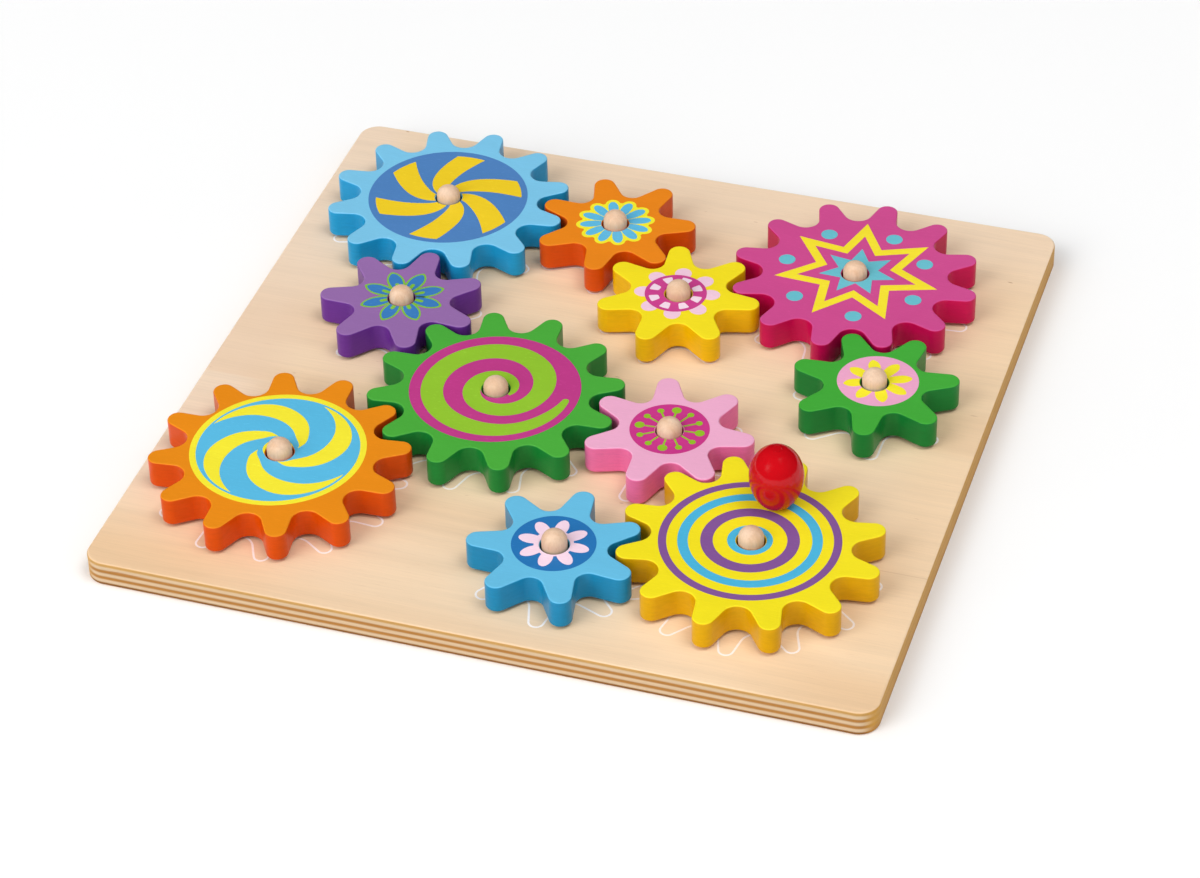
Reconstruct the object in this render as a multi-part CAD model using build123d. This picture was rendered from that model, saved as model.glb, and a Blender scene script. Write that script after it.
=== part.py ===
from build123d import *
import math
import os

os.makedirs("parts", exist_ok=True)

# Wooden crank gear toy: a square plywood board with eleven dowel pegs, a painted
# wooden gear turning on each peg, and an egg-shaped handle on one large gear.
# Millimetres. +Z is up, the origin is the middle of the board's underside,
# +X runs to the right along the front edge and +Y to the back edge.

# ---- driving dimensions -----------------------------------------------------
board_side = 300.0          # length and width of the square board
board_t = 10.4              # seven plies of about 1.5 mm
board_corner_r = 8.0        # rounded corners, seen from above
board_edge_r = 0.9          # eased top and bottom edges

peg_d = 9.5                 # dowel pegs (3/8 in stock)
peg_hole_depth = 7.0        # blind glue hole in the board's top
peg_straight = 13.85        # straight side of a peg above the board's top
peg_dome = 4.4              # height of the domed end above that
peg_foot_chamfer = 0.6
# the hand-cut dowels differ in length: how much further these stand out
peg_extra = {
    "blue_small": 1.1,
    "green_small": 0.8,
    "orange_small": 0.6,
    "orange_large": 0.6,
    "yellow_small": 0.6,
    "yellow_large": 0.4,
}

gear_t = 11.6               # gear thickness
gear_gap = 1.25             # air under a gear, seen as a dark line
gear_top_edge_r = 0.6       # sanded edges of a gear
gear_bottom_edge_r = 1.0
bore_d = 10.8               # loose bore on the peg
bore_chamfer = 0.3

# Tooth form: a round tip and a round gullet joined by a straight flank that is
# tangent to both. Radii of the tip circle, the tip arc, the root circle and the
# gullet arc.
large_teeth, large_tip_r, large_tip_arc, large_root_r, large_gullet_arc = 12, 49.3, 4.16, 36.6, 5.53
small_teeth, small_tip_r, small_tip_arc, small_root_r, small_gullet_arc = 7, 32.5, 4.29, 19.5, 4.9

# name: size, peg position x, y, direction of the first tooth in degrees.
# Meshed pairs stand 88.0 (large, large), 71.0 (large, small) or 54.5 mm apart.
gears = {
    "blue_large": ("large", -91.02, 89.93, 25.20),
    "orange_large": ("large", -95.94, -85.29, 19.56),
    "green_large": ("large", -30.88, -26.03, 20.02),
    "yellow_large": ("large", 86.80, -85.17, 23.95),
    "magenta_large": ("large", 81.41, 84.49, 27.79),
    "orange_small": ("small", -20.02, 90.93, 13.26),
    "purple_small": ("small", -85.67, 19.13, 35.64),
    "yellow_small": ("small", 18.23, 52.10, 3.12),
    "green_small": ("small", 106.32, 18.00, 19.00),
    "pink_small": ("small", 39.88, -31.88, 4.75),
    "blue_small": ("small", 19.39, -107.49, 34.95),
}

# Egg handle on the large yellow gear, narrow end down
knob_gear = "yellow_large"
knob_offset = 22.4          # from the gear's axis
knob_angle = 81.8           # direction from the gear's axis, degrees
knob_r = 10.15              # widest radius
knob_h = 26.2               # height above the gear
knob_widest = 14.0          # height of the widest place above the gear
knob_foot_r = 3.4           # radius of the flat foot
knob_dowel_d = 5.0          # glued dowel between gear and handle
knob_dowel_len = 16.0
knob_dowel_in_gear = 8.0
knob_hole_slack = 0.5       # glue space past each end of the dowel

# ---- levels ------------------------------------------------------------------
top = board_t                       # board's upper face
gear_z0 = top + gear_gap            # gear's lower face
gear_z1 = gear_z0 + gear_t          # gear's upper face


def write(shape, name):
    shape.label = name
    export_step(shape, f"parts/{name}.step")


def tooth_points(n, tip_r, tip_arc, root_r, gullet_arc):
    """Half a tooth along +X: tip point, tip tangent, gullet tangent, gullet middle."""
    half = math.pi / n
    ax, ay = tip_r - tip_arc, 0.0
    gx = (root_r + gullet_arc) * math.cos(half)
    gy = (root_r + gullet_arc) * math.sin(half)
    dx, dy = gx - ax, gy - ay
    dist = math.hypot(dx, dy)
    ex, ey = dx / dist, dy / dist
    sin_q = (tip_arc + gullet_arc) / dist
    cos_q = math.sqrt(1.0 - sin_q * sin_q)
    # outward normal of the inner common tangent, on the tip's side
    normals = [(sin_q * ex - s * cos_q * ey, sin_q * ey + s * cos_q * ex) for s in (1, -1)]
    mx, my = max(normals)
    tip_tangent = (ax + tip_arc * mx, ay + tip_arc * my)
    gullet_tangent = (gx - gullet_arc * mx, gy - gullet_arc * my)
    return (tip_r, 0.0), tip_tangent, gullet_tangent, (root_r * math.cos(half), root_r * math.sin(half))


def turned(p, angle):
    c, s = math.cos(angle), math.sin(angle)
    return (c * p[0] - s * p[1], s * p[0] + c * p[1])


def gear_blank(size):
    if size == "large":
        n, form = large_teeth, (large_tip_r, large_tip_arc, large_root_r, large_gullet_arc)
    else:
        n, form = small_teeth, (small_tip_r, small_tip_arc, small_root_r, small_gullet_arc)
    tip, tt, gt, gm = tooth_points(n, *form)
    pitch = 2.0 * math.pi / n
    edges = []
    for k in range(n):
        a = k * pitch
        tip_start = turned((tt[0], -tt[1]), a)
        tip_end = turned(tt, a)
        gullet_start = turned(gt, a)
        gullet_mid = turned(gm, a)
        gullet_end = turned((gt[0], -gt[1]), a + pitch)
        edges.append(ThreePointArc(tip_start, turned(tip, a), tip_end))
        edges.append(Line(tip_end, gullet_start))
        edges.append(ThreePointArc(gullet_start, gullet_mid, gullet_end))
        edges.append(Line(gullet_end, turned((tt[0], -tt[1]), a + pitch)))
    face = make_face(Wire(edges))
    blank = extrude(face, amount=gear_t)
    faces = blank.faces().sort_by(Axis.Z)
    blank = fillet(faces[-1].outer_wire().edges(), gear_top_edge_r)
    bottom = blank.faces().sort_by(Axis.Z)[0]
    blank = fillet(bottom.outer_wire().edges(), gear_bottom_edge_r)
    bore = Cylinder(bore_d / 2, gear_t + 2, align=(Align.CENTER, Align.CENTER, Align.MIN)).moved(Location((0, 0, -1)))
    blank = blank - bore
    mouths = blank.edges().filter_by(GeomType.CIRCLE).filter_by(
        lambda e: abs(e.radius - bore_d / 2) < 1e-3
    )
    return chamfer(mouths, bore_chamfer)


blanks = {"large": gear_blank("large"), "small": gear_blank("small")}

# ---- board: rounded square with eleven blind peg holes ------------------------
board = extrude(RectangleRounded(board_side, board_side, board_corner_r), amount=board_t)
ends = board.faces().sort_by(Axis.Z)
board = fillet(ShapeList(list(ends[0].outer_wire().edges()) + list(ends[-1].outer_wire().edges())), board_edge_r)
for size, x, y, phase in gears.values():
    board = board - Cylinder(
        peg_d / 2, peg_hole_depth + 1, align=(Align.CENTER, Align.CENTER, Align.MIN)
    ).moved(Location((x, y, top - peg_hole_depth)))
write(board, "base_board")

# ---- peg: dowel with a chamfered foot and a domed top --------------------------
def turned_peg(straight):
    r = peg_d / 2
    foot = -peg_hole_depth
    dome = [(r * math.cos(math.pi / 2 * i / 8), straight + peg_dome * math.sin(math.pi / 2 * i / 8)) for i in range(9)]
    dome[-1] = (0.0, straight + peg_dome)
    profile = make_face(
        Wire(
            [
                Line((0, foot), (r - peg_foot_chamfer, foot)),
                Line((r - peg_foot_chamfer, foot), (r, foot + peg_foot_chamfer)),
                Line((r, foot + peg_foot_chamfer), (r, straight)),
                Spline(*dome, tangents=[(0, 1), (-1, 0)]),
                Line((0, straight + peg_dome), (0, foot)),
            ]
        )
    )
    return revolve(Plane.XZ * profile, Axis.Z)


# ---- egg handle: two half-ellipses turned about the vertical, flat foot --------
low = knob_widest / math.sqrt(1.0 - (knob_foot_r / knob_r) ** 2)   # lower semi-axis
foot_angle = -math.acos(knob_foot_r / knob_r)
steps = 16
egg = []
for i in range(steps + 1):
    t = foot_angle + (math.pi / 2 - foot_angle) * i / steps
    rise = low if t < 0 else knob_h - knob_widest
    egg.append((max(knob_r * math.cos(t), 0.0), knob_widest + rise * math.sin(t)))
egg[0] = (knob_foot_r, 0.0)
egg[-1] = (0.0, knob_h)
foot_slope = (-knob_r * math.sin(foot_angle), low * math.cos(foot_angle))
knob_profile = make_face(
    Wire(
        [
            Line((0, 0), (knob_foot_r, 0)),
            Spline(*egg, tangents=[foot_slope, (-1, 0)]),
            Line((0, knob_h), (0, 0)),
        ]
    )
)
knob = revolve(Plane.XZ * knob_profile, Axis.Z)
dowel_in_knob = knob_dowel_len - knob_dowel_in_gear
knob = knob - Cylinder(
    knob_dowel_d / 2, dowel_in_knob + knob_hole_slack + 1, align=(Align.CENTER, Align.CENTER, Align.MIN)
).moved(Location((0, 0, -1)))
dowel = chamfer(
    Cylinder(knob_dowel_d / 2, knob_dowel_len, align=(Align.CENTER, Align.CENTER, Align.MIN))
    .edges()
    .filter_by(GeomType.CIRCLE),
    0.4,
)

knob_x = gears[knob_gear][1] + knob_offset * math.cos(math.radians(knob_angle))
knob_y = gears[knob_gear][2] + knob_offset * math.sin(math.radians(knob_angle))
write(knob.moved(Location((knob_x, knob_y, gear_z1))), "crank_knob")
write(dowel.moved(Location((knob_x, knob_y, gear_z1 - knob_dowel_in_gear))), "knob_dowel")

# ---- gears and pegs -------------------------------------------------------------
for name, (size, x, y, phase) in gears.items():
    gear = blanks[size].moved(Location((x, y, gear_z0), (0, 0, phase)))
    if name == knob_gear:
        gear = gear - Cylinder(
            knob_dowel_d / 2, knob_dowel_in_gear + knob_hole_slack + 1, align=(Align.CENTER, Align.CENTER, Align.MIN)
        ).moved(Location((knob_x, knob_y, gear_z1 - knob_dowel_in_gear - knob_hole_slack)))
    write(gear, f"gear_{name}")
    peg = turned_peg(peg_straight + peg_extra.get(name, 0.0))
    write(peg.moved(Location((x, y, top))), f"peg_{name}")
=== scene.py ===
import math

import bpy
import numpy as np
from mathutils import Matrix, Vector
from mathutils.geometry import tessellate_polygon


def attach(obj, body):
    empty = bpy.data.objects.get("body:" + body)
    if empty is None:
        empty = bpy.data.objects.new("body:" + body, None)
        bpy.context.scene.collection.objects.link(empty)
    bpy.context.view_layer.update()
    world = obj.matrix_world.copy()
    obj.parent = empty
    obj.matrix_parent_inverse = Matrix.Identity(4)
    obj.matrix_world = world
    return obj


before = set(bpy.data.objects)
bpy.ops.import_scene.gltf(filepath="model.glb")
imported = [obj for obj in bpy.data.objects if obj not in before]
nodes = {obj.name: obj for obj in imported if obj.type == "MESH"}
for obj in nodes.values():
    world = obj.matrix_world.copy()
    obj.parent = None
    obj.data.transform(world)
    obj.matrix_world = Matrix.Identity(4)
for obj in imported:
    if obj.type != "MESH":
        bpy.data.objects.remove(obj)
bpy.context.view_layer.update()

# Wooden crank gear toy. Everything below is in metres, in the frame of the CAD
# model: +Z up, origin in the middle of the board's underside, +X to the right
# along the front edge. Print outlines are written in millimetres.
MM = 0.001
BOARD_TOP = 10.4
GEAR_TOP = 23.25
PLY = 10.4 / 7
BORE = 5.73              # rim of a gear's bore at the top, past its chamfer

# name: size, axis x, y, direction of the first tooth in degrees
GEARS = {
    "blue_large": ("large", -91.02, 89.93, 25.20),
    "orange_large": ("large", -95.94, -85.29, 19.56),
    "green_large": ("large", -30.88, -26.03, 20.02),
    "yellow_large": ("large", 86.80, -85.17, 23.95),
    "magenta_large": ("large", 81.41, 84.49, 27.79),
    "orange_small": ("small", -20.02, 90.93, 13.26),
    "purple_small": ("small", -85.67, 19.13, 35.64),
    "yellow_small": ("small", 18.23, 52.10, 3.12),
    "green_small": ("small", 106.32, 18.00, 19.00),
    "pink_small": ("small", 39.88, -31.88, 4.75),
    "blue_small": ("small", 19.39, -107.49, 34.95),
}


def lin(c, gain=1.0):
    """A colour given as 0 to 255, as a linear value for a shader socket."""
    out = []
    for v in c:
        v = v / 255.0
        v = v / 12.92 if v <= 0.04045 else ((v + 0.055) / 1.055) ** 2.4
        out.append(min(1.0, v * gain))
    return (out[0], out[1], out[2], 1.0)


# ---- shader building ----------------------------------------------------------
class Tree:
    """A short way to write a node tree."""

    def __init__(self, name):
        self.mat = bpy.data.materials.new(name)
        self.mat.use_nodes = True
        self.t = self.mat.node_tree
        self.t.nodes.clear()
        self.out = self.t.nodes.new("ShaderNodeOutputMaterial")
        self.p = self.t.nodes.new("ShaderNodeBsdfPrincipled")
        self.t.links.new(self.p.outputs[0], self.out.inputs[0])
        self.n_bump = None

    def put(self, sock, v):
        if isinstance(v, bpy.types.NodeSocket):
            self.t.links.new(v, sock)
        else:
            sock.default_value = v

    def coords(self):
        n = self.t.nodes.new("ShaderNodeTexCoord")
        return n.outputs["Object"]

    def normal_z(self):
        g = self.t.nodes.new("ShaderNodeNewGeometry")
        s = self.t.nodes.new("ShaderNodeSeparateXYZ")
        self.t.links.new(g.outputs["Normal"], s.inputs[0])
        return s.outputs["Z"]

    def split(self, v):
        s = self.t.nodes.new("ShaderNodeSeparateXYZ")
        self.t.links.new(v, s.inputs[0])
        return s.outputs

    def join(self, x, y, z):
        s = self.t.nodes.new("ShaderNodeCombineXYZ")
        for i, v in enumerate((x, y, z)):
            self.put(s.inputs[i], v)
        return s.outputs[0]

    def map(self, v, scale, loc=(0, 0, 0), rot=(0, 0, 0)):
        m = self.t.nodes.new("ShaderNodeMapping")
        self.t.links.new(v, m.inputs["Vector"])
        m.inputs["Scale"].default_value = scale
        m.inputs["Location"].default_value = loc
        m.inputs["Rotation"].default_value = rot
        return m.outputs[0]

    def noise(self, v, scale=1.0, detail=2.0, rough=0.5, distort=0.0):
        n = self.t.nodes.new("ShaderNodeTexNoise")
        self.t.links.new(v, n.inputs["Vector"])
        n.inputs["Scale"].default_value = scale
        n.inputs["Detail"].default_value = detail
        n.inputs["Roughness"].default_value = rough
        n.inputs["Distortion"].default_value = distort
        return n.outputs["Fac"]

    def math(self, op, a, b=0.0, c=0.0, clamp=False):
        n = self.t.nodes.new("ShaderNodeMath")
        n.operation = op
        n.use_clamp = clamp
        self.put(n.inputs[0], a)
        self.put(n.inputs[1], b)
        self.put(n.inputs[2], c)
        return n.outputs[0]

    def smooth(self, v, lo, hi, out_lo=0.0, out_hi=1.0):
        n = self.t.nodes.new("ShaderNodeMapRange")
        n.interpolation_type = "SMOOTHSTEP"
        self.put(n.inputs["Value"], v)
        n.inputs["From Min"].default_value = lo
        n.inputs["From Max"].default_value = hi
        n.inputs["To Min"].default_value = out_lo
        n.inputs["To Max"].default_value = out_hi
        return n.outputs["Result"]

    def mix(self, f, a, b, mode="MIX"):
        n = self.t.nodes.new("ShaderNodeMix")
        n.data_type = "RGBA"
        n.blend_type = mode
        self.put(n.inputs["Factor"], f)
        self.put(n.inputs["A"], a)
        self.put(n.inputs["B"], b)
        return n.outputs["Result"]

    def ramp(self, v, stops):
        n = self.t.nodes.new("ShaderNodeValToRGB")
        self.put(n.inputs[0], v)
        e = n.color_ramp.elements
        while len(e) > 1:
            e.remove(e[-1])
        e[0].position, e[0].color = stops[0]
        for p, c in stops[1:]:
            s = e.new(p)
            s.color = c
        return n.outputs[0]

    def bump(self, height, strength, distance):
        n = self.t.nodes.new("ShaderNodeBump")
        n.inputs["Strength"].default_value = strength
        n.inputs["Distance"].default_value = distance
        self.t.links.new(height, n.inputs["Height"])
        if self.n_bump is not None:
            self.t.links.new(self.n_bump, n.inputs["Normal"])
        self.n_bump = n.outputs[0]

    def done(self, colour, rough, specular=0.5, coat=0.0, coat_rough=0.1):
        self.put(self.p.inputs["Base Color"], colour)
        self.put(self.p.inputs["Roughness"], rough)
        self.p.inputs["Specular IOR Level"].default_value = specular
        if coat:
            self.p.inputs["Coat Weight"].default_value = coat
            self.p.inputs["Coat Roughness"].default_value = coat_rough
        if self.n_bump is not None:
            self.t.links.new(self.n_bump, self.p.inputs["Normal"])
        return self.mat


def vary(t, colour, amount_noise, lo, hi):
    """Multiplies a colour by a grey that runs from lo to hi with the noise."""
    grey = t.ramp(amount_noise, [(0.3, (lo, lo, lo, 1)), (0.7, (hi, hi, hi, 1))])
    return t.mix(1.0, colour, grey, "MULTIPLY")


def paint(name, face, side=None, grain=0.0, rough=0.30, flecks=0.5, edge=0.08):
    """Satin paint on wood: the wood's pores and grain show faintly through it,
    and a painted highlight lightens the rounded top edges all round."""
    t = Tree(name)
    v = t.coords()
    turn = (0, 0, math.radians(grain))
    fine = t.noise(t.map(v, (160, 1900, 900), rot=turn), 1, 3, 0.6)
    broad = t.noise(t.map(v, (16, 70, 60), (1.3, 0.4, 0.2), turn), 1, 2, 0.5)
    pore = t.noise(t.map(v, (420, 3600, 1500), (3.1, 1.7, 0.5), turn), 1, 1, 0.5)
    top = vary(t, lin(face), fine, 0.972, 1.022)
    top = vary(t, top, broad, 0.965, 1.02)
    spots = t.smooth(pore, 0.66, 0.76)
    pale = [min(255, c + 26 * flecks) for c in face]
    top = t.mix(t.math("MULTIPLY", spots, 0.55), top, lin(pale))
    if side is not None:
        run = t.noise(t.map(v, (260, 260, 1300), (0.7, 2.1, 0)), 1, 3, 0.6)
        wall = vary(t, lin(side), run, 0.94, 1.05)
        wall = vary(t, wall, broad, 0.95, 1.04)
        nz = t.normal_z()
        colour = t.mix(t.smooth(nz, 0.25, 0.9), wall, top)
        # painted highlight: the rounded top edges are mixed towards a paler face colour all round the gear; edge sets
        # how strong it is
        painted_edge_highlight = t.math("MULTIPLY", t.smooth(nz, 0.45, 0.75), t.smooth(nz, 0.999, 0.93))
        light = [min(255, c + 18) for c in face]
        colour = t.mix(t.math("MULTIPLY", painted_edge_highlight, edge), colour, lin(light))
    else:
        colour = top
    t.bump(fine, 0.10, 0.00012)
    t.bump(pore, 0.16, 0.00010)
    t.bump(broad, 0.05, 0.0006)
    r = t.math("ADD", rough - 0.05, t.math("MULTIPLY", fine, 0.10))
    return t.done(colour, r, 0.18)


def plywood(name):
    """Pale birch faced plywood: grain along X on the faces, seven plies at the edges."""
    t = Tree(name)
    v = t.coords()
    x, y, z = t.split(v)
    # wavy grain lines along X
    warp = t.noise(t.map(v, (9, 22, 9)), 1, 2, 0.5)
    y2 = t.math("ADD", y, t.math("MULTIPLY", t.math("SUBTRACT", warp, 0.5), 0.006))
    g = t.join(x, y2, z)
    fine = t.noise(t.map(g, (30, 1300, 300)), 1, 4, 0.6)
    mid = t.noise(t.map(g, (7, 210, 60), (2.0, 0.7, 0)), 1, 3, 0.55)
    band = t.noise(t.map(g, (1.6, 34, 8), (0.3, 5.2, 0)), 1, 2, 0.5)
    face = t.mix(t.smooth(band, 0.32, 0.68), lin((238, 207, 171)), lin((243, 216, 183)))
    # the face is made brighter towards the right, yellower and darker at the front corners and along the right edge,
    # and paler at the left and back
    warm = t.math("MULTIPLY", t.smooth(t.math("ABSOLUTE", t.math("SUBTRACT", x, 0.01)), 0.06, 0.13), t.smooth(y, -0.115, -0.14))
    warm = t.math("MAXIMUM", warm, t.smooth(x, 0.115, 0.14, 0.0, 0.35))
    face = t.mix(t.smooth(x, 0.0, 0.12, 0.0, 0.8), face, lin((249, 222, 187)))
    face = t.mix(warm, face, lin((236, 201, 161)))
    cool = t.math("MAXIMUM", t.smooth(x, -0.11, -0.14, 0.0, 0.8), t.smooth(y, 0.09, 0.14, 0.0, 0.5))
    cool = t.math("MULTIPLY", cool, t.smooth(y, -0.12, -0.09))
    face = t.mix(cool, face, lin((241, 217, 193)))
    face = vary(t, face, mid, 0.955, 1.02)
    face = vary(t, face, fine, 0.965, 1.02)
    # short darker pores and a few brown flecks
    pore = t.noise(t.map(g, (150, 3300, 900), (0.2, 0.9, 0)), 1, 2, 0.5)
    face = t.mix(t.smooth(pore, 0.62, 0.80, 0.0, 0.30), face, lin((205, 165, 125)))
    fleck = t.noise(t.map(v, (130, 420, 300), (7.7, 3.1, 0)), 1, 1, 0.5)
    face = t.mix(t.smooth(fleck, 0.775, 0.83, 0.0, 0.65), face, lin((176, 128, 88)))
    # strips of the face veneer: a seam at the right, a step in tone at the left,
    # a darker patch at the right
    wob = t.math("MULTIPLY", t.math("SUBTRACT", t.noise(t.map(v, (14, 3, 3)), 1, 2), 0.5), 0.0022)
    yw = t.math("ADD", y, wob)
    d = t.math("ABSOLUTE", t.math("ADD", yw, 0.0735))
    seam = t.math("MULTIPLY", t.smooth(d, 0.00008, 0.00042, 0.32, 0.0), t.smooth(x, 0.095, 0.125))
    face = t.mix(seam, face, lin((200, 160, 120)))
    step = t.math("MULTIPLY", t.smooth(yw, -0.0306, -0.0298), t.smooth(yw, 0.06, 0.0))
    step = t.math("MULTIPLY", step, t.smooth(x, -0.112, -0.135, 0.0, 0.30))
    face = t.mix(step, face, lin((226, 188, 150)))
    patch = t.math("MULTIPLY", t.smooth(y, -0.004, 0.004), t.smooth(y, 0.030, 0.020))
    patch = t.math("MULTIPLY", patch, t.smooth(x, 0.05, 0.11, 0.0, 0.35))
    face = t.mix(patch, face, lin((228, 192, 154)))
    # plies: odd ones tan, even ones light, on the front and back; end grain left and right
    zz = t.math("ADD", z, t.math("MULTIPLY", t.math("SUBTRACT", t.noise(t.map(v, (26, 26, 40)), 1, 2), 0.5), 0.00028))
    ply = t.math("DIVIDE", zz, 7 * PLY * MM)
    tan, light = lin((171, 118, 57)), lin((208, 181, 147))
    # the bottom ply's dark colour is a painted shade, standing in for the shade where the board's edge meets the floor
    plies = [lin((133, 86, 37)), light, tan, light, tan, light, lin((191, 147, 85))]
    s = []
    for i, c in enumerate(plies):
        a, b = i / 7.0, (i + 1) / 7.0
        s += [(a + 0.03, c), (b - 0.03, c)]
    edge = t.ramp(ply, s)
    streak = t.noise(t.map(g, (38, 300, 2400)), 1, 3, 0.6)
    edge = vary(t, edge, streak, 0.91, 1.06)
    blot = t.noise(t.map(v, (34, 34, 500), (4.0, 1.0, 0)), 1, 2, 0.5)
    edge = t.mix(t.smooth(blot, 0.66, 0.78, 0.0, 0.6), edge, lin((170, 112, 55)))
    end = vary(t, lin((200, 148, 62)), t.noise(t.map(v, (400, 900, 1600)), 1, 3, 0.6), 0.92, 1.05)
    # painted shade: the end grain darkens over the bottom plies, standing in for the shade near the floor
    end = t.mix(t.smooth(ply, 0.34, 0.18, 0.0, 0.8), end, lin((181, 125, 44)))
    end = t.mix(0.10, end, edge)
    nrm = t.t.nodes.new("ShaderNodeNewGeometry")
    nx, ny, nz = t.split(nrm.outputs["Normal"])
    wall = t.mix(t.smooth(t.math("ABSOLUTE", nx), 0.35, 0.9), edge, end)
    colour = t.mix(t.smooth(t.math("ABSOLUTE", nz), 0.45, 0.85), wall, face)
    t.bump(fine, 0.10, 0.00012)
    t.bump(pore, 0.20, 0.00010)
    t.bump(streak, 0.06, 0.00012)
    r = t.math("ADD", 0.44, t.math("MULTIPLY", mid, 0.14))
    return t.done(colour, r, 0.14)


def dowel(name):
    """Turned dowel: grain along its axis, end grain on the dome."""
    t = Tree(name)
    v = t.coords()
    long = t.noise(t.map(v, (1500, 1500, 60)), 1, 3, 0.6)
    broad = t.noise(t.map(v, (180, 330, 20), (0.4, 1.2, 0)), 1, 2, 0.5)
    colour = t.mix(t.smooth(broad, 0.3, 0.7), lin((222, 184, 152)), lin((234, 203, 176)))
    colour = vary(t, colour, long, 0.93, 1.04)
    pore = t.noise(t.map(v, (2600, 2600, 500), (0.3, 0.1, 0)), 1, 1, 0.5)
    colour = t.mix(t.smooth(pore, 0.66, 0.78, 0.0, 0.4), colour, lin((196, 152, 118)))
    t.bump(long, 0.12, 0.00012)
    t.bump(pore, 0.16, 0.0001)
    r = t.math("ADD", 0.42, t.math("MULTIPLY", long, 0.12))
    return t.done(colour, r, 0.14)


def lacquer(name):
    """Thick glossy red lacquer with the slight orange peel of a dipped handle."""
    t = Tree(name)
    v = t.coords()
    peel = t.noise(t.map(v, (420, 420, 420)), 1, 2, 0.5)
    tone = t.noise(t.map(v, (60, 60, 60)), 1, 2, 0.5)
    colour = vary(t, lin((192, 11, 22)), tone, 0.94, 1.04)
    t.bump(peel, 0.03, 0.0002)
    r = t.math("ADD", 0.07, t.math("MULTIPLY", tone, 0.05))
    return t.done(colour, r, 0.25)


PAINTS = {  # face, side
    "blue_large": ((125, 198, 233), (28, 153, 207)),
    "orange_large": ((232, 139, 25), (210, 75, 2)),
    "green_large": ((75, 170, 61), (23, 128, 51)),
    "yellow_large": ((243, 225, 33), (215, 163, 2)),
    "magenta_large": ((205, 76, 142), (193, 6, 78)),
    "orange_small": ((234, 134, 28), (212, 77, 2)),
    "purple_small": ((149, 108, 169), (105, 49, 148)),
    "yellow_small": ((243, 222, 34), (233, 183, 2)),
    "green_small": ((65, 168, 56), (18, 121, 49)),
    "pink_small": ((237, 172, 204), (238, 117, 172)),
    "blue_small": ((103, 188, 225), (23, 133, 180)),
}
SLOT = {"blue": "blue_paint", "orange": "orange_paint", "green": "green_paint", "yellow": "yellow_paint",
        "magenta": "magenta_paint", "purple": "purple_paint", "pink": "pink_paint"}


def dress(o, mat):
    o.data.materials.clear()
    o.data.materials.append(mat)


ply_mat, dowel_mat, red_mat = plywood("plywood_birch"), dowel("dowel_beech"), lacquer("lacquer_red")
dress(nodes["base_board"], ply_mat)
dress(nodes["crank_knob"], red_mat)
dress(nodes["knob_dowel"], dowel_mat)
for k, (n, g) in enumerate(GEARS.items()):
    dress(nodes["peg_" + n], dowel_mat)
    face, side = PAINTS[n]
    dress(nodes["gear_" + n], paint("paint_gear_" + n, face, side, grain=18 + 37 * k))


# ---- flat printed shapes -------------------------------------------------------
def spline(xs, ys, x):
    """Natural cubic spline through the points, at x."""
    xs, ys, x = np.asarray(xs, float), np.asarray(ys, float), np.asarray(x, float)
    n = len(xs)
    h = np.diff(xs)
    a = np.zeros((n, n))
    b = np.zeros(n)
    a[0, 0] = a[-1, -1] = 1
    for i in range(1, n - 1):
        a[i, i - 1], a[i, i], a[i, i + 1] = h[i - 1], 2 * (h[i - 1] + h[i]), h[i]
        b[i] = 3 * ((ys[i + 1] - ys[i]) / h[i] - (ys[i] - ys[i - 1]) / h[i - 1])
    c = np.linalg.solve(a, b)
    i = np.clip(np.searchsorted(xs, x) - 1, 0, n - 2)
    d = (c[i + 1] - c[i]) / (3 * h[i])
    m = (ys[i + 1] - ys[i]) / h[i] - h[i] * (2 * c[i] + c[i + 1]) / 3
    u = x - xs[i]
    return ys[i] + m * u + c[i] * u * u + d * u ** 3


def polar(r, deg, at=(0.0, 0.0)):
    t = np.radians(np.asarray(deg, float))
    r = np.asarray(r, float)
    return np.stack([r * np.cos(t) + at[0], r * np.sin(t) + at[1]], -1)


def circle(r, at=(0.0, 0.0), n=120):
    return polar(np.full(n, float(r)), np.arange(n) * 360.0 / n, at)


def area2(p):
    q = np.roll(p, -1, 0)
    return float((p[:, 0] * q[:, 1] - q[:, 0] * p[:, 1]).sum())


def ccw(p):
    return p if area2(p) > 0 else p[::-1]


def dense(p, step=0.35):
    """The closed outline with points no further apart than step."""
    out = []
    for a, b in zip(p, np.roll(p, -1, 0)):
        k = max(1, int(math.ceil(np.hypot(*(b - a)) / step)))
        for i in range(k):
            out.append(a + (b - a) * i / k)
    return np.array(out)


def clear_of(p, hole_r=BORE, at=(0.0, 0.0)):
    """The outline p less the disc of hole_r about at, which it crosses in one run."""
    p = ccw(p)
    r = np.hypot(p[:, 0] - at[0], p[:, 1] - at[1])
    inside = r < hole_r
    if not inside.any():
        return p
    p = dense(p)
    r = np.hypot(p[:, 0] - at[0], p[:, 1] - at[1])
    inside = r < hole_r
    start = [i for i in range(len(p)) if not inside[i] and inside[i - 1]][0]
    p = np.roll(p, -start, 0)
    inside = np.roll(inside, -start)
    end = int(np.argmax(inside)) if inside.any() else len(p)
    out = p[:end]

    def cross(a, b):
        lo, hi = 0.0, 1.0
        for _ in range(30):
            m = (lo + hi) / 2
            q = a + (b - a) * m
            if np.hypot(q[0] - at[0], q[1] - at[1]) < hole_r:
                hi = m
            else:
                lo = m
        return a + (b - a) * lo

    e = cross(out[-1], p[end])
    s = cross(out[0], p[-1])
    a0 = math.atan2(e[1] - at[1], e[0] - at[0])
    a1 = math.atan2(s[1] - at[1], s[0] - at[0])
    d = (a1 - a0 + math.pi) % (2 * math.pi) - math.pi
    k = max(2, int(abs(d) / 0.08))
    arc = [np.array([at[0] + hole_r * math.cos(a0 + d * i / k), at[1] + hole_r * math.sin(a0 + d * i / k)]) for i in range(k + 1)]
    return np.array(list(out) + arc)


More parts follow.
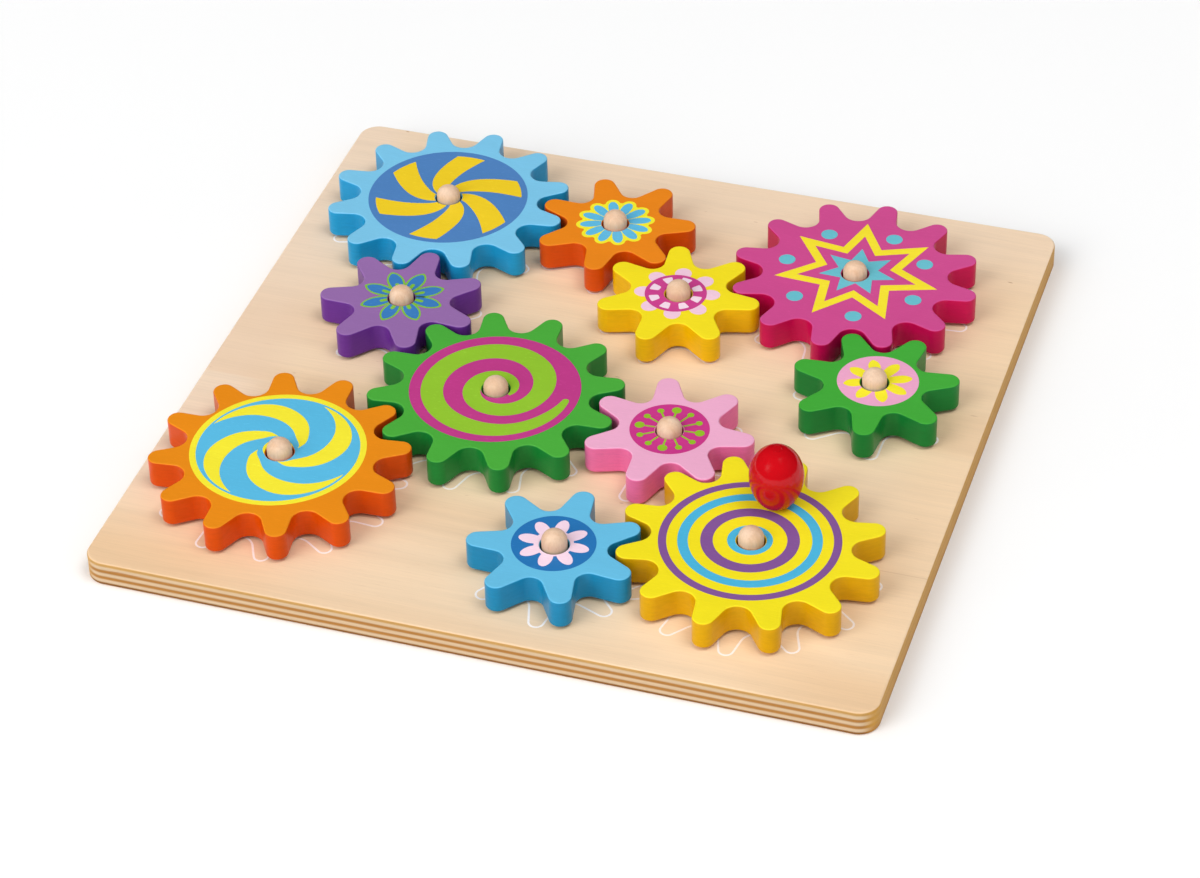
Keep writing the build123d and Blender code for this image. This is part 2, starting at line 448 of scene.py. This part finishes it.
class Print:
    """Thin closed shapes of one colour, gathered into one mesh. Outlines are in
    millimetres about the centre given, and each has its own height over the face."""

    def __init__(self, centre, base, bottom=0.06):
        self.c, self.base, self.bottom = np.array(centre, float), base, bottom
        self.v, self.f = [], []

    def add(self, outline, level, holes=()):
        loops = [ccw(np.asarray(outline, float))] + [ccw(np.asarray(h, float))[::-1] for h in holes]
        flat = np.concatenate(loops)
        tri = tessellate_polygon([[Vector((x, y, 0)) for x, y in l] for l in loops])
        n, o = len(flat), len(self.v)
        for z in (self.base + level, self.base - self.bottom):
            self.v += [((x + self.c[0]) * MM, (y + self.c[1]) * MM, z * MM) for x, y in flat]
        for a, b, c in tri:
            s = (flat[b][0] - flat[a][0]) * (flat[c][1] - flat[a][1]) - (flat[b][1] - flat[a][1]) * (flat[c][0] - flat[a][0])
            if abs(s) < 1e-9:
                continue
            if s < 0:
                b, c = c, b
            self.f.append((o + a, o + b, o + c))
            self.f.append((o + n + a, o + n + c, o + n + b))
        k = 0
        for l in loops:
            m = len(l)
            for i in range(m):
                a, b = o + k + i, o + k + (i + 1) % m
                self.f.append((a, a + n, b + n, b))
            k += m
        return self

    def disc(self, r, level, at=(0.0, 0.0), hole=True, n=150):
        return self.add(circle(r, at, n), level, [circle(BORE, n=72)] if hole else [])

    def ring(self, r1, r2, level, at=(0.0, 0.0), n=150):
        return self.add(circle(r2, at, n), level, [circle(r1, at, n)])

    def make(self, name, mat, body, slot):
        me = bpy.data.meshes.new(name)
        me.from_pydata(self.v, [], self.f)
        me.validate()
        me.update()
        o = bpy.data.objects.new(name, me)
        bpy.context.scene.collection.objects.link(o)
        me.materials.append(mat)
        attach(o, body)
        return o


inks = {}


def ink(name, rgb, gear, rough=0.34):
    """A printed colour. Its pores run on from those of the gear under it."""
    k = list(GEARS).index(gear)
    key = name + "_" + gear
    if key not in inks:
        inks[key] = paint("ink_" + key, rgb, None, grain=18 + 37 * k, rough=rough, flecks=0.9)
    return inks[key]


def gear_print(gear):
    s, x, y, ph = GEARS[gear]
    return Print((x, y), GEAR_TOP)


def petal(length_from, length_to, width, widest, at=(0.0, 0.0), deg=0.0, tip=0.5, foot=0.5, n=22, limit=None, gap=0.0):
    """A petal along its own axis. tip and foot are powers: 0.5 is round, 1 and more pointed."""
    a = np.linspace(0, 1, n)
    t1 = length_from + (widest - length_from) * (1 - np.cos(a * math.pi / 2))
    w1 = width / 2 * np.sin(a * math.pi / 2) ** (2 * foot)
    t2 = widest + (length_to - widest) * np.sin(a * math.pi / 2)
    w2 = width / 2 * np.cos(a * math.pi / 2) ** (2 * tip)
    t, w = np.concatenate([t1, t2[1:]]), np.concatenate([w1, w2[1:]])
    if limit is not None:
        w = np.minimum(w, t * math.tan(math.radians(limit)) - gap)
        w = np.maximum(w, 0.0)
    top = np.stack([t, w], -1)
    bot = np.stack([t[1:-1], -w[1:-1]], -1)[::-1]
    p = np.concatenate([top, bot])
    keep = [0]
    for i in range(1, len(p)):
        if np.hypot(*(p[i] - p[keep[-1]])) > 0.02:
            keep.append(i)
    p = p[keep]
    c, s = math.cos(math.radians(deg)), math.sin(math.radians(deg))
    return np.stack([p[:, 0] * c - p[:, 1] * s + at[0], p[:, 0] * s + p[:, 1] * c + at[1]], -1)


def scallops(n, at, phase, centre_r, a, b, base, step=1.0, angles=None):
    """Union of n ellipses round a disc, seen from the middle."""
    dirs = angles if angles is not None else [phase + 360.0 * k / n for k in range(n)]
    th = np.arange(0, 360, step)
    r = np.full(len(th), float(base))
    for d in dirs:
        u = np.radians((th - d + 180) % 360 - 180)
        A = (np.cos(u) / a) ** 2 + (np.sin(u) / b) ** 2
        B = -2 * centre_r * np.cos(u) / a ** 2
        C = (centre_r / a) ** 2 - 1
        D = B * B - 4 * A * C
        ok = (D > 0) & (np.abs(u) < math.pi / 2)
        r = np.where(ok, np.maximum(r, (-B + np.sqrt(np.maximum(D, 0))) / (2 * A)), r)
    return polar(r, th, at)


L1, L2, L3, L4 = 0.04, 0.07, 0.10, 0.13      # heights of stacked colours over the face, mm

# blue_large: dark blue disc with six curved yellow blades
g = "blue_large"
at = (-0.4, 0.4)
gear_print(g).disc(32.5, L1, at).make("print_blue_large_disc", ink("blue", (80, 130, 190), g), "gear_" + g, "blue_paint")
p = gear_print(g)
for d in (90.2, 26.7, -32.1, -91.8, -152.5, 147.7):
    r = np.linspace(5.0, 29.75, 26)
    left = polar(r, d + spline([4.5, 5.4, 10, 15, 20, 25, 30], [78.5, 75, 59, 43.5, 30, 19.5, 11.4], r))
    right = polar(r, d + spline([4.5, 5.4, 10, 15, 20, 25, 30], [31, 28, 14, 4.5, -2, -7.2, -11.3], r))
    arc = polar(np.full(12, 29.75), np.linspace(d - 11.2, d + 11.5, 12))
    foot = polar(np.full(8, 5.0), np.linspace(d + 76.5, d + 29.4, 8))
    out = np.concatenate([right, arc[1:-1], left[::-1], foot[1:-1]])
    p.add(clear_of(out), L2)
p.make("print_blue_large_blades", ink("yellow", (240, 205, 40), g), "gear_" + g, "yellow_paint")

# orange_large: yellow rim, cyan disc, four yellow crescents
g = "orange_large"
at = (-1.25, 1.5)
p = gear_print(g).disc(33.2, L1, at)
q = gear_print(g)
eye = clear_of(circle(5.6, at, 90))
# the cyan disc leaves the bore and a thin yellow sickle round it free
th = np.radians(np.arange(0, 360, 3.0))
rr = np.maximum.reduce([
    np.full(len(th), BORE),
    at[0] * np.cos(th) + at[1] * np.sin(th) + np.sqrt(np.maximum(5.75 ** 2 - (at[0] * np.sin(th) - at[1] * np.cos(th)) ** 2, 0)),
])
free = np.stack([rr * np.cos(th), rr * np.sin(th)], -1)
q.add(circle(30.75, at, 150), L2, [free])
q.make("print_orange_large_disc", ink("cyan", (90, 185, 225), g), "gear_" + g, "blue_paint")
for k in range(4):
    d = 90.0 * k
    a_out = [19, 27, 34, 51.3, 72.9, 92.4, 108.7, 130, 148, 165.6]
    r_out = [7.4, 8.8, 10.3, 13.2, 18.2, 22.8, 26.3, 28.9, 29.75, 29.85]
    a_in = [19, 24.9, 45, 63.9, 93.9, 116.4, 135.3, 154, 165.6]
    r_in = [7.4, 7.7, 8.3, 9.2, 14.1, 19.0, 23.6, 27.6, 29.8]
    ta, tb = np.linspace(19, 165.6, 56), np.linspace(19, 165.4, 56)
    po = polar(spline(a_out, r_out, ta), ta + d, at)
    pi = polar(np.minimum(spline(a_in, r_in, tb), 29.8), tb + d, at)
    p.add(clear_of(np.concatenate([po, pi[::-1][:-1]])), L3)
p.make("print_orange_large_sails", ink("yellow", (245, 232, 55), g), "gear_" + g, "yellow_paint")

# green_large: magenta disc with a lime spiral
g = "green_large"
gear_print(g).disc(32.9, L1, (-0.4, 0.2)).make("print_green_large_disc", ink("magenta", (190, 60, 135), g), "gear_" + g, "magenta_paint")
f1 = [0, 45, 90, 135, 180, 225, 270, 315, 360, 405, 450, 495, 540, 585, 630, 675, 720, 745]
o1 = [29.2, 29.1, 28.8, 28.7, 28.7, 28.5, 27.7, 24.9, 20.9, 18.0, 15.6, 13.5, 12.1, 11.5, 10.9, 9.6, 7.9, 6.6]
f2 = [0, 12, 26, 55, 90, 135, 180, 225, 270, 315, 360, 405, 450, 495, 540]
i2 = [26.5, 25.2, 24.0, 22.6, 20.8, 20.3, 20.0, 19.6, 18.6, 15.6, 12.75, 10.4, 8.2, 6.5, 5.3]
fa = np.linspace(0, 738, 250)
ro = np.maximum(spline(f1, o1, fa), BORE + 0.03)
ri = np.where(fa < 520, spline(f2, i2, np.minimum(fa, 540)), 5.0)
ri = np.maximum(ri, BORE)
tip = polar(1.36 * np.ones(9), np.linspace(0, 180, 11)[1:-1], (27.85, 0.0))
end = polar([7.05, 6.6, 6.1], [-738 - 2.0, -738 - 3.5, -738 - 3.0])
out = np.concatenate([polar(ro, -fa), end, polar(ri, -fa)[::-1], tip[::-1]])
gear_print(g).add(out, L2).make("print_green_large_spiral", ink("lime", (145, 195, 50), g), "gear_" + g, "green_paint")

# yellow_large: four rings
g = "yellow_large"
at = (-0.4, 0.0)
gear_print(g).ring(30.3, 33.3, L1, at).ring(13.5, 18.0, L1, at, 96).make(
    "print_yellow_large_rings_a", ink("purple", (130, 85, 150), g), "gear_" + g, "purple_paint")
gear_print(g).ring(22.5, 26.3, L1, at).add(circle(8.3, at, 72), L1, [circle(BORE, n=72)]).make(
    "print_yellow_large_rings_b", ink("cyan", (75, 180, 220), g), "gear_" + g, "blue_paint")

# magenta_large: yellow star outline, cyan star, seven dots
g = "magenta_large"
at = (0.66, 1.63)


def star(tip, valley, first=97.5, n=7):
    return polar([tip, valley] * n, [first + 180.0 / n * k for k in range(2 * n)], at)


gear_print(g).add(star(33.1, 17.5), L1, [star(24.2, 12.8)]).make(
    "print_magenta_large_star", ink("yellow", (245, 225, 50), g), "gear_" + g, "yellow_paint")
p = gear_print(g)
p.add(star(15.5, 8.0), L1, [circle(BORE, n=72)])
for d in (71, 28.5, -22.6, -77, -132, 176.2, 125.7):
    c = polar(28.4, d)
    p.add(circle(3.3, c, 40), L1)
p.make("print_magenta_large_dots", ink("cyan", (105, 190, 205), g), "gear_" + g, "blue_paint")

# orange_small: cyan daisy with a yellow border
g = "orange_small"
at = (-0.2, 0.9)
gear_print(g).add(scallops(12, at, -8, 12.3, 3.65, 3.1, 13.6), L1, [circle(BORE, n=72)]).make(
    "print_orange_small_border", ink("yellow", (245, 235, 50), g), "gear_" + g, "yellow_paint")
p = gear_print(g)
for k in range(12):
    p.add(clear_of(petal(2.0, 14.35, 4.15, 10.6, at, -8 + 30 * k, tip=0.5, foot=0.35, limit=15, gap=0.16)), L2)
p.make("print_orange_small_petals", ink("cyan", (95, 185, 225), g), "gear_" + g, "blue_paint")

# purple_small: eight pointed petals with lime borders and stamens
g = "purple_small"
at = (0.0, 0.9)
dirs = (79.3, 33.9, -6, -50.3, -97.4, -144.4, 169.3, 123.8)
p, q, s = gear_print(g), gear_print(g), gear_print(g)
for d in dirs:
    p.add(clear_of(petal(1.5, 17.1, 6.8, 10.6, at, d, tip=0.72, foot=0.4, limit=22.4)), L1)
    q.add(clear_of(petal(4.6, 16.0, 5.2, 10.9, at, d, tip=0.68, foot=0.42, limit=19.5, gap=0.2)), L2)
    s.add(clear_of(petal(3.5, 9.2, 1.6, 8.3, at, d, tip=0.5, foot=0.05)), L3)
p.make("print_purple_small_border", ink("lime", (130, 190, 60), g), "gear_" + g, "green_paint")
q.make("print_purple_small_petals", ink("blue", (60, 125, 190), g), "gear_" + g, "blue_paint")
s.make("print_purple_small_stamens", ink("lime", (130, 190, 60), g), "gear_" + g, "green_paint")

# yellow_small: pale lobes, magenta disc, eight pale windows
g = "yellow_small"
lobes = (96, 51.8, 11.4, -36, -81.6, -126, -169.4, 142.5)
gear_print(g).add(scallops(8, (-0.6, 0.1), 0, 13.2, 3.8, 3.35, 11.0, angles=lobes), L1, [circle(BORE, n=72)]).make(
    "print_yellow_small_lobes", ink("pale", (240, 200, 220), g), "gear_" + g, "pink_paint")
at = (-1.1, 0.0)
gear_print(g).disc(12.25, L2, at).make("print_yellow_small_disc", ink("magenta", (200, 65, 140), g), "gear_" + g, "magenta_paint")


def window(d, r0=6.9, r1=10.6, half=12.6, soft=0.7):
    """A small rounded trapezium, wider outside."""
    c = [(r0, -1.25), (r1, -2.15), (r1 + 0.15, 0), (r1, 2.15), (r0, 1.25)]
    pts = []
    for i, (x, y) in enumerate(c):
        a, b, e = np.array(c[i - 1]), np.array((x, y)), np.array(c[(i + 1) % len(c)])
        if i == 2:
            pts.append(b)
            continue
        u, w = (a - b) / np.hypot(*(a - b)), (e - b) / np.hypot(*(e - b))
        k = soft
        for s_ in np.linspace(0, 1, 6):
            pts.append((1 - s_) ** 2 * (b + u * k) + 2 * s_ * (1 - s_) * b + s_ ** 2 * (b + w * k))
    pts = np.array(pts)
    co, si = math.cos(math.radians(d)), math.sin(math.radians(d))
    return np.stack([pts[:, 0] * co - pts[:, 1] * si + at[0], pts[:, 0] * si + pts[:, 1] * co + at[1]], -1)


p = gear_print(g)
for k in range(8):
    p.add(clear_of(window(-10 + 45 * k)), L3)
p.make("print_yellow_small_windows", ink("white", (240, 215, 230), g), "gear_" + g, "pink_paint")

# green_small: pink disc with eight yellow petals
g = "green_small"
at = (1.0, 1.3)
gear_print(g).disc(15.6, L1, at).make("print_green_small_disc", ink("pink", (235, 165, 200), g), "gear_" + g, "pink_paint")
p = gear_print(g)
for k in range(8):
    p.add(clear_of(petal(1.5, 13.3, 4.7, 9.3, at, 22.5 + 45 * k, tip=0.72, foot=0.5, limit=22.3)), L2)
p.make("print_green_small_petals", ink("yellow", (245, 232, 45), g), "gear_" + g, "yellow_paint")

# pink_small: magenta disc with twelve lime pins
g = "pink_small"
at = (-0.1, 0.65)
gear_print(g).disc(15.1, L1, at).make("print_pink_small_disc", ink("magenta", (200, 55, 135), g), "gear_" + g, "magenta_paint")
p = gear_print(g)
for k in range(12):
    d = 3.3 + 30 * k
    head = 1.85 if k % 3 == 0 else 1.32
    c = 11.6
    a0 = math.degrees(math.asin(0.38 / head))
    ring_ = polar(np.full(25, head), np.linspace(-180 + a0, 180 - a0, 25), (c, 0.0))
    pts = np.concatenate([[(3.0, -0.38)], ring_, [(3.0, 0.38)]])
    co, si = math.cos(math.radians(d)), math.sin(math.radians(d))
    pts = np.stack([pts[:, 0] * co - pts[:, 1] * si + at[0], pts[:, 0] * si + pts[:, 1] * co + at[1]], -1)
    p.add(clear_of(pts), L2)
p.make("print_pink_small_pins", ink("lime", (145, 190, 40), g), "gear_" + g, "green_paint")

# blue_small: dark blue disc with a pale eight-petalled flower
g = "blue_small"
at = (-0.5, 0.65)
gear_print(g).disc(15.5, L1, at).make("print_blue_small_disc", ink("blue", (40, 115, 180), g), "gear_" + g, "blue_paint")
gear_print(g).add(scallops(8, at, -1, 8.9, 4.5, 2.5, 7.3, step=0.75), L2, [circle(BORE, n=72)]).make(
    "print_blue_small_flower", ink("pale", (245, 215, 232), g), "gear_" + g, "pink_paint")


# ---- gear outlines printed on the board -------------------------------------------
def tooth_outline(size, k_arc=9):
    n, tip_r, tip_arc, root_r, gullet = (12, 47.8, 2.7, 35.4, 7.0) if size == "large" else (7, 31.4, 2.8, 18.4, 6.3)
    half = math.pi / n
    A = np.array([tip_r - tip_arc, 0.0])
    G = (root_r + gullet) * np.array([math.cos(half), math.sin(half)])
    D = G - A
    L = float(np.hypot(*D))
    e = D / L
    nn = np.array([-e[1], e[0]])
    sq = (tip_arc + gullet) / L
    cq = math.sqrt(1 - sq * sq)
    m1, m2 = sq * e + cq * nn, sq * e - cq * nn
    m = m1 if m1[0] > m2[0] else m2
    a1 = math.atan2(m[1], m[0])
    b0, b1 = math.atan2(-m[1], -m[0]) % (2 * math.pi), math.atan2(-G[1], -G[0]) % (2 * math.pi)
    pts, nrm = [], []
    for t in np.linspace(0, a1, k_arc):
        d = np.array([math.cos(t), math.sin(t)])
        pts.append(A + tip_arc * d)
        nrm.append(d)
    for t in np.linspace(b0, b1, k_arc):
        d = np.array([math.cos(t), math.sin(t)])
        pts.append(G + gullet * d)
        nrm.append(-d)
    pts, nrm = np.array(pts), np.array(nrm)
    flip = np.array([1, -1])
    P = np.concatenate([pts[::-1][:-1] * flip, pts[:-1]])
    N = np.concatenate([nrm[::-1][:-1] * flip, nrm[:-1]])
    oP, oN = [], []
    for k in range(n):
        t = 2 * math.pi * k / n
        R = np.array([[math.cos(t), math.sin(t)], [-math.sin(t), math.cos(t)]])
        oP.append(P @ R)
        oN.append(N @ R)
    return np.concatenate(oP), np.concatenate(oN)


# name: direction of the first tooth, shift of the centre. The printed teeth are a
# little slimmer than the wooden ones.
OUTLINES = {
    "orange_large": (12.3, -0.46, -0.14), "yellow_large": (4.2, 0.54, -0.94), "green_large": (26.3, -0.36, 0.26),
    "magenta_large": (22.0, -0.36, 0.06), "blue_large": (0.0, -0.36, 0.06), "blue_small": (17.1, -0.06, 0.26),
    "pink_small": (-4.1, -0.16, 0.46), "green_small": (25.0, -0.36, 0.46), "purple_small": (30.0, 0.0, 0.0),
    "orange_small": (13.3, 0.0, 0.0), "yellow_small": (3.1, 0.0, 0.0),
}


def outline_ink(name):
    t = Tree(name)
    v = t.coords()
    pore = t.noise(t.map(v, (150, 3300, 900), (0.2, 0.9, 0)), 1, 2, 0.5)
    wear = t.noise(t.map(v, (260, 900, 200)), 1, 3, 0.6)
    c = vary(t, lin((253, 244, 240)), wear, 0.96, 1.02)
    c = t.mix(t.smooth(pore, 0.60, 0.78, 0.0, 0.35), c, lin((228, 190, 165)))
    t.bump(pore, 0.2, 0.0001)
    r = t.math("ADD", 0.45, t.math("MULTIPLY", wear, 0.1))
    return t.done(c, r, 0.14)


line_mat = outline_ink("ink_outline")
for n, (size, x, y, ph) in GEARS.items():
    P, N = tooth_outline(size)
    turn, ox, oy = OUTLINES[n]
    a = math.radians(turn)
    R = np.array([[math.cos(a), math.sin(a)], [-math.sin(a), math.cos(a)]])
    P, N = P @ R, N @ R
    w = 0.39
    Print((x + ox, y + oy), BOARD_TOP, 0.05).add(P + N * w, 0.03, [P - N * w]).make("outline_" + n, line_mat, "board", "plywood")


# ---- floor, light and camera ---------------------------------------------------------
def floor_material():
    t = Tree("studio_floor")
    v = t.coords()
    m = t.noise(t.map(v, (3, 3, 3)), 1, 2, 0.5)
    c = vary(t, (0.98, 0.98, 0.98, 1.0), m, 0.99, 1.0)
    return t.done(c, 0.9, 0.0)


me = bpy.data.meshes.new("studio_floor")
S = 6.0
me.from_pydata([(-S, -S, -0.0002), (S, -S, -0.0002), (S, S, -0.0002), (-S, S, -0.0002)], [], [(0, 1, 2, 3)])
me.update()
floor = bpy.data.objects.new("studio_floor", me)
bpy.context.scene.collection.objects.link(floor)
me.materials.append(floor_material())


def softbox(name, direction, distance, width, height, share, diffuse=True, glossy=True):
    """An area light that gives a level white surface under it that share of full white."""
    d = Vector(direction).normalized()
    l = bpy.data.lights.new(name, "AREA")
    l.shape = "RECTANGLE"
    l.size, l.size_y = width, height
    l.energy = share * math.pi ** 2 * distance ** 2 / max(d.z, 0.1)
    o = bpy.data.objects.new(name, l)
    bpy.context.scene.collection.objects.link(o)
    o.visible_diffuse, o.visible_glossy = diffuse, glossy
    o.matrix_world = Matrix.Translation(d * distance) @ d.to_track_quat("Z", "Y").to_matrix().to_4x4()
    return o


softbox("key", (-0.45, -0.69, 0.57), 5.0, 3.1, 3.9, 0.32, glossy=False)
softbox("window", (-0.45, -0.69, 0.57), 5.0, 1.1, 1.8, 0.14, diffuse=False)
softbox("second", (0.353, -0.134, 0.926), 4.0, 1.8, 1.7, 0.27, glossy=False)
softbox("second_window", (0.353, -0.134, 0.926), 4.0, 0.5, 0.5, 0.06, diffuse=False)
softbox("third", (0.007, 0.78, 0.625), 4.0, 0.9, 0.25, 0.012)

# even white surroundings with a dark stretch beyond the object
world = bpy.data.worlds.new("studio")
bpy.context.scene.world = world
world.use_nodes = True
world.cycles_visibility.glossy = False
wt = world.node_tree
bg = wt.nodes["Background"]
bg.inputs["Color"].default_value = (1.0, 1.0, 1.0, 1.0)
wc = wt.nodes.new("ShaderNodeTexCoord")
ws = wt.nodes.new("ShaderNodeSeparateXYZ")
wt.links.new(wc.outputs["Generated"], ws.inputs[0])
wr = wt.nodes.new("ShaderNodeMapRange")
wr.interpolation_type = "SMOOTHSTEP"
wt.links.new(ws.outputs["Y"], wr.inputs["Value"])
wr.inputs["From Min"].default_value = 0.15
wr.inputs["From Max"].default_value = 0.60
wr.inputs["To Min"].default_value = 0.66
wr.inputs["To Max"].default_value = 0.06
wt.links.new(wr.outputs["Result"], bg.inputs["Strength"])

bpy.context.scene.view_settings.view_transform = "Standard"
bpy.context.scene.view_settings.look = "None"

cam = bpy.data.cameras.new("camera")
cam.sensor_fit = "HORIZONTAL"
cam.sensor_width = 36.0
cam.lens = 111.342
cam.clip_start, cam.clip_end = 0.05, 50.0
co = bpy.data.objects.new("camera", cam)
bpy.context.scene.collection.objects.link(co)
right = Vector((0.952722, 0.303253, -0.018934))
down = Vector((0.174044, -0.595744, -0.78409))
ahead = Vector((-0.249057, 0.743725, -0.620358))
m = Matrix.Identity(4)
for i in range(3):
    m[i][0], m[i][1], m[i][2] = right[i], -down[i], -ahead[i]
m[0][3], m[1][3], m[2][3] = 0.362222, -1.076568, 0.884314
co.matrix_world = m
bpy.context.scene.camera = co
